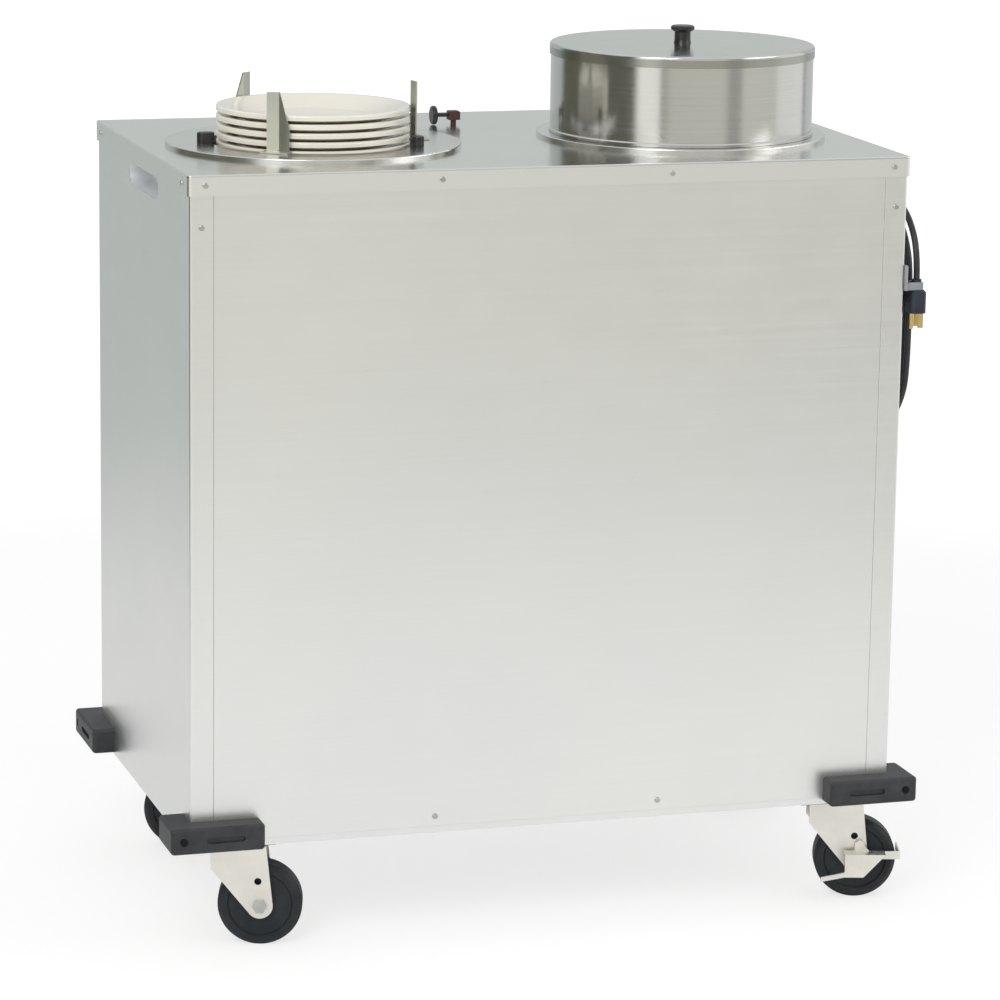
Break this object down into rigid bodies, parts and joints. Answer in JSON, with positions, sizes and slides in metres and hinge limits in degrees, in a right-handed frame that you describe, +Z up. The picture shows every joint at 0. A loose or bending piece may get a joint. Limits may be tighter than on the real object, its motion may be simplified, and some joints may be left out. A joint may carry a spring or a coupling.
{
  "type": "heated plate dispenser",
  "caption": "Mobile heated plate dispenser: steel cabinet on swivel casters with self-levelling plate tubes, guide blades, a deep lid, corner bumpers and a mains cord.",
  "frame": {"origin": "on the floor under the middle of the cabinet", "axes": "+Z up, the long front of the cabinet faces -Y, +X to the right-hand end with the lid and the cord"},
  "size_m": [0.9288, 0.561, 1.054],
  "materials": {
    "panel_steel": "satin stainless sheet",
    "top_steel": "fine satin stainless sheet, nearly mirror",
    "ring_steel": "polished stainless",
    "inner_steel": "mill finish steel",
    "lid_steel": "polished stainless",
    "guide_steel": "satin stainless",
    "spring_steel": "drawn wire",
    "screw_steel": "bright screws",
    "bolt_steel": "zinc plated",
    "caster_steel": "bright zinc plated",
    "element_sheath": "dull heat-stained sheath",
    "bumper_rubber": "matt moulded",
    "wheel_rubber": "matt moulded",
    "cord_rubber": "smooth",
    "plug_rubber": "smooth moulded",
    "black_plastic": "moulded",
    "block_plastic": "moulded",
    "rocker_plastic": "moulded",
    "clip_plastic": "moulded",
    "plate_ceramic": "cream glaze",
    "blade_brass": "plain"
  },
  "bodies": {
    "cabinet": {"base_pan": "panel_steel", "side_panel_left": "panel_steel", "side_panel_right": "panel_steel", "front_panel": "panel_steel", "rear_panel": "panel_steel", "top_panel": "top_steel", "handhold_cups": "panel_steel", "screws": "screw_steel", "corner_bumpers": "bumper_rubber", "silo_flange_left": "ring_steel", "silo_tube_left": "inner_steel", "springs_left": "spring_steel", "silo_flange_right": "ring_steel", "silo_tube_right": "inner_steel", "springs_right": "spring_steel", "silo_floors": "inner_steel", "heater_elements": "element_sheath", "temperature_block": "block_plastic", "switch_frame": "black_plastic", "cord_gland": "cord_rubber", "cord_hooks": "panel_steel", "plug_clip": "clip_plastic", "cord_lead": "cord_rubber", "cord_winding": "cord_rubber", "cord_tail": "cord_rubber", "plug_body": "plug_rubber", "plug_blades": "blade_brass", "caster_plates": "caster_steel"},
    "carrier_left": {"carrier_left": "inner_steel"},
    "plates": {"plate_stack": "plate_ceramic"},
    "carrier_right": {"carrier_right": "inner_steel"},
    "lid": {"lid_shell": "lid_steel", "lid_cap": "lid_steel", "lid_knob": "black_plastic"},
    "temperature_knob": {"temperature_knob": "black_plastic"},
    "switch_rocker": {"switch_rocker": "rocker_plastic"},
    "guide_left_1": {"guide_left_1": "guide_steel"},
    "guide_left_2": {"guide_left_2": "guide_steel"},
    "guide_left_3": {"guide_left_3": "guide_steel"},
    "lock_knob_left_1": {"lock_knob_left_1": "black_plastic"},
    "lock_knob_left_2": {"lock_knob_left_2": "black_plastic"},
    "guide_right_1": {"guide_right_1": "guide_steel"},
    "guide_right_2": {"guide_right_2": "guide_steel"},
    "guide_right_3": {"guide_right_3": "guide_steel"},
    "lock_knob_right_1": {"lock_knob_right_1": "black_plastic"},
    "lock_knob_right_2": {"lock_knob_right_2": "black_plastic"},
    "fork_front_left": {"caster_fork_front_left": "caster_steel", "caster_axle_front_left": "bolt_steel"},
    "wheel_front_left": {"caster_wheel_front_left": "wheel_rubber"},
    "fork_front_right": {"caster_fork_front_right": "caster_steel", "caster_axle_front_right": "bolt_steel"},
    "wheel_front_right": {"caster_wheel_front_right": "wheel_rubber"},
    "brake_front": {"brake_lever_front": "caster_steel"},
    "fork_rear_left": {"caster_fork_rear_left": "caster_steel", "caster_axle_rear_left": "bolt_steel"},
    "wheel_rear_left": {"caster_wheel_rear_left": "wheel_rubber"},
    "fork_rear_right": {"caster_fork_rear_right": "caster_steel", "caster_axle_rear_right": "bolt_steel"},
    "wheel_rear_right": {"caster_wheel_rear_right": "wheel_rubber"},
    "brake_rear": {"brake_lever_rear": "caster_steel"}
  },
  "joints": [
    {"name": "carrier_left_lift", "type": "slide", "parent": "cabinet", "child": "carrier_left", "axis": [0, 0, 1], "range_m": [-0.243, 0.2], "stiffness_N_per_m": 670, "springref_m": 0.2617, "deforming": ["springs_left"]},
    {"name": "plates_lift_off", "type": "slide", "parent": "carrier_left", "child": "plates", "axis": [0, 0, 1], "range_m": [0, 0.25]},
    {"name": "carrier_right_lift", "type": "slide", "parent": "cabinet", "child": "carrier_right", "axis": [0, 0, 1], "range_m": [-0.45, 0], "stiffness_N_per_m": 670, "springref_m": 0.0307, "deforming": ["springs_right"]},
    {"name": "lid_lift_off", "type": "slide", "parent": "cabinet", "child": "lid", "axis": [0, 0, 1], "range_m": [0, 0.25]},
    {"name": "guide_left_1_set", "type": "slide", "parent": "cabinet", "child": "guide_left_1", "axis": [-0.515, 0.8572, 0], "range_m": [0, 0.012]},
    {"name": "guide_left_2_set", "type": "slide", "parent": "cabinet", "child": "guide_left_2", "axis": [-0.5592, -0.829, 0], "range_m": [0, 0.012]},
    {"name": "guide_left_3_set", "type": "slide", "parent": "cabinet", "child": "guide_left_3", "axis": [0.9976, -0.0698, 0], "range_m": [0, 0.012]},
    {"name": "lock_knob_left_1_turn", "type": "hinge", "parent": "cabinet", "child": "lock_knob_left_1", "pos_m": [-0.36092, -0.01346, 0.931], "axis": [0, 0, 1], "range_deg": [0, 180]},
    {"name": "lock_knob_left_2_turn", "type": "hinge", "parent": "cabinet", "child": "lock_knob_left_2", "pos_m": [-0.12323, -0.09069, 0.931], "axis": [0, 0, 1], "range_deg": [0, 180]},
    {"name": "guide_right_1_set", "type": "slide", "parent": "cabinet", "child": "guide_right_1", "axis": [-0.515, 0.8572, 0], "range_m": [0, 0.012]},
    {"name": "guide_right_2_set", "type": "slide", "parent": "cabinet", "child": "guide_right_2", "axis": [-0.5592, -0.829, 0], "range_m": [0, 0.012]},
    {"name": "guide_right_3_set", "type": "slide", "parent": "cabinet", "child": "guide_right_3", "axis": [0.9976, -0.0698, 0], "range_m": [0, 0.012]},
    {"name": "lock_knob_right_1_turn", "type": "hinge", "parent": "cabinet", "child": "lock_knob_right_1", "pos_m": [0.10108, -0.01346, 0.931], "axis": [0, 0, 1], "range_deg": [0, 180]},
    {"name": "lock_knob_right_2_turn", "type": "hinge", "parent": "cabinet", "child": "lock_knob_right_2", "pos_m": [0.33877, -0.09069, 0.931], "axis": [0, 0, 1], "range_deg": [0, 180]},
    {"name": "temperature_turn", "type": "hinge", "parent": "cabinet", "child": "temperature_knob", "pos_m": [-0.032, 0.134, 0.932], "axis": [1, 0, 0], "range_deg": [0, 270]},
    {"name": "switch_rock", "type": "hinge", "parent": "cabinet", "child": "switch_rocker", "pos_m": [-0.03, 0.2475, 0.845], "axis": [1, 0, 0], "range_deg": [-8, 8]},
    {"name": "swivel_front_left", "type": "hinge", "parent": "cabinet", "child": "fork_front_left", "pos_m": [-0.376, -0.203, 0.123], "axis": [0, 0, 1], "continuous": true},
    {"name": "roll_front_left", "type": "hinge", "parent": "fork_front_left", "child": "wheel_front_left", "pos_m": [-0.3414, -0.21292, 0.05], "axis": [0.2756, 0.9613, 0], "continuous": true},
    {"name": "swivel_front_right", "type": "hinge", "parent": "cabinet", "child": "fork_front_right", "pos_m": [0.376, -0.203, 0.123], "axis": [0, 0, 1], "continuous": true},
    {"name": "roll_front_right", "type": "hinge", "parent": "fork_front_right", "child": "wheel_front_right", "pos_m": [0.4106, -0.21292, 0.05], "axis": [0.2756, 0.9613, 0], "continuous": true},
    {"name": "brake_press_front", "type": "hinge", "parent": "fork_front_right", "child": "brake_front", "pos_m": [0.40797, -0.23661, 0.07], "axis": [0.2756, 0.9613, 0], "range_deg": [0, 5]},
    {"name": "swivel_rear_left", "type": "hinge", "parent": "cabinet", "child": "fork_rear_left", "pos_m": [-0.376, 0.203, 0.123], "axis": [0, 0, 1], "continuous": true},
    {"name": "roll_rear_left", "type": "hinge", "parent": "fork_rear_left", "child": "wheel_rear_left", "pos_m": [-0.3414, 0.19308, 0.05], "axis": [0.2756, 0.9613, 0], "continuous": true},
    {"name": "swivel_rear_right", "type": "hinge", "parent": "cabinet", "child": "fork_rear_right", "pos_m": [0.376, 0.203, 0.123], "axis": [0, 0, 1], "continuous": true},
    {"name": "roll_rear_right", "type": "hinge", "parent": "fork_rear_right", "child": "wheel_rear_right", "pos_m": [0.4106, 0.19308, 0.05], "axis": [0.2756, 0.9613, 0], "continuous": true},
    {"name": "brake_press_rear", "type": "hinge", "parent": "fork_rear_right", "child": "brake_rear", "pos_m": [0.40797, 0.16939, 0.07], "axis": [0.2756, 0.9613, 0], "range_deg": [0, 5]}
  ],
  "couplings": [
    {"joint": "guide_left_2_set", "follows": "guide_left_1_set", "ratio": 1},
    {"joint": "guide_left_3_set", "follows": "guide_left_1_set", "ratio": 1},
    {"joint": "guide_right_2_set", "follows": "guide_right_1_set", "ratio": 1},
    {"joint": "guide_right_3_set", "follows": "guide_right_1_set", "ratio": 1}
  ]
}
